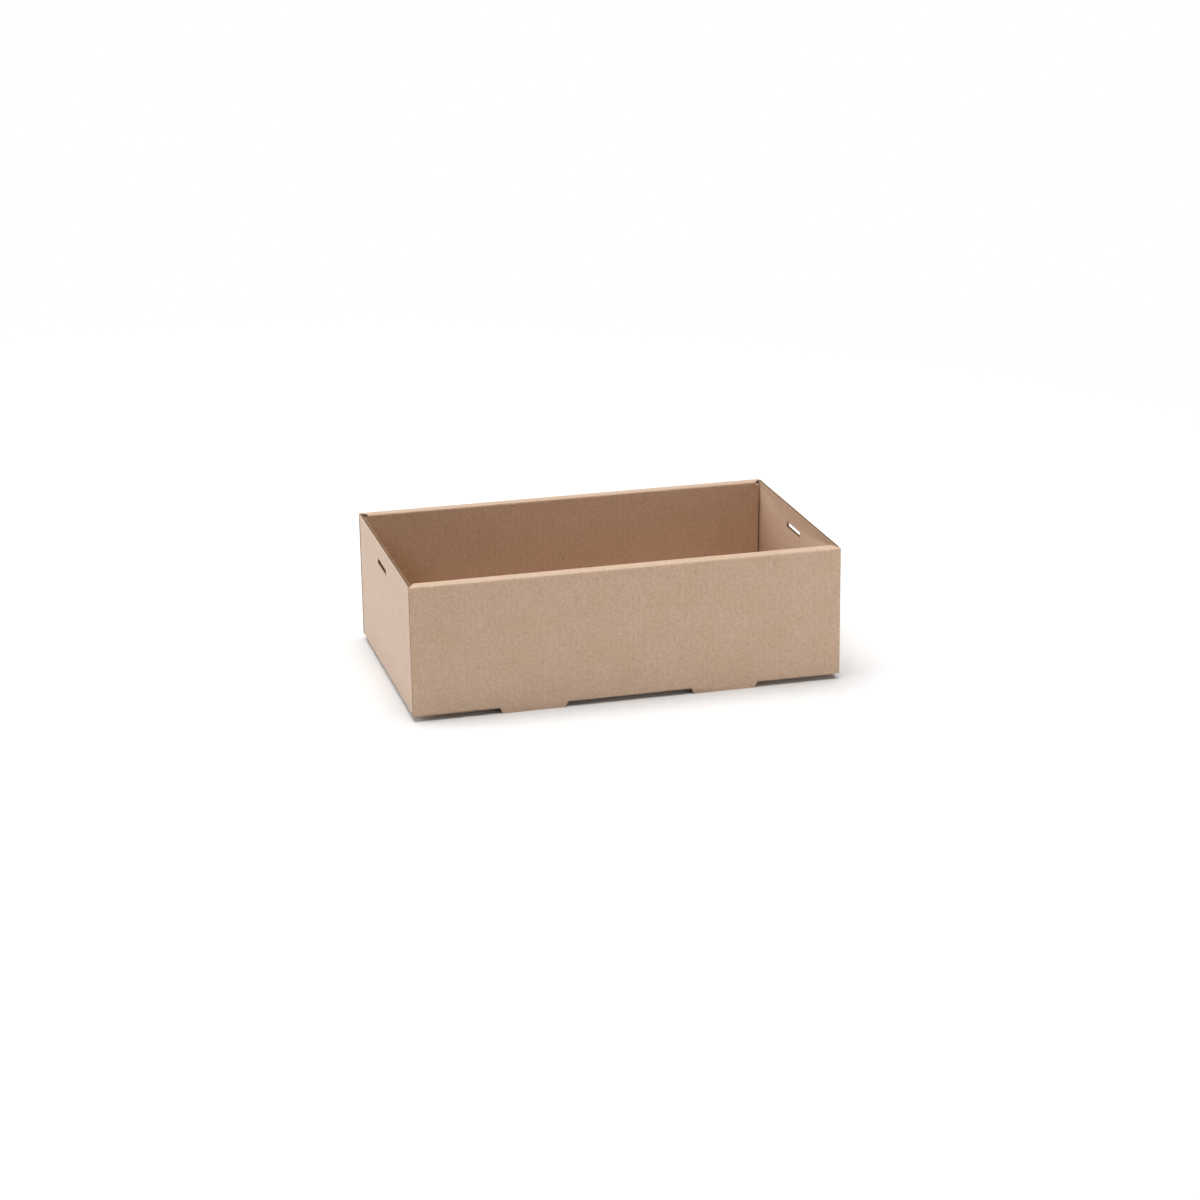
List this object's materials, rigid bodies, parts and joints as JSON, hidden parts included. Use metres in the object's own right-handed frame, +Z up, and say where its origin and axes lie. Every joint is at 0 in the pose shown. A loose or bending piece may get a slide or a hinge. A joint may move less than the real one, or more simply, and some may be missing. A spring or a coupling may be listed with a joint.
{
  "type": "catering tray box",
  "caption": "Open rectangular food tray folded from thin corrugated board, with rolled-over long sides, lid slots and small feet",
  "frame": {"origin": "bottom centre of the bounding box, in the plane of the feet's lower edges", "axes": "+X along the long side, -Y is the front (the side with the torn nick by its right foot), +Z up through the open top"},
  "size_m": [0.255, 0.155, 0.0807],
  "materials": {
    "kraft_board": "uncoated brown kraft board, matte"
  },
  "bodies": {
    "root": {"tray_box": "kraft_board"}
  },
  "joints": []
}
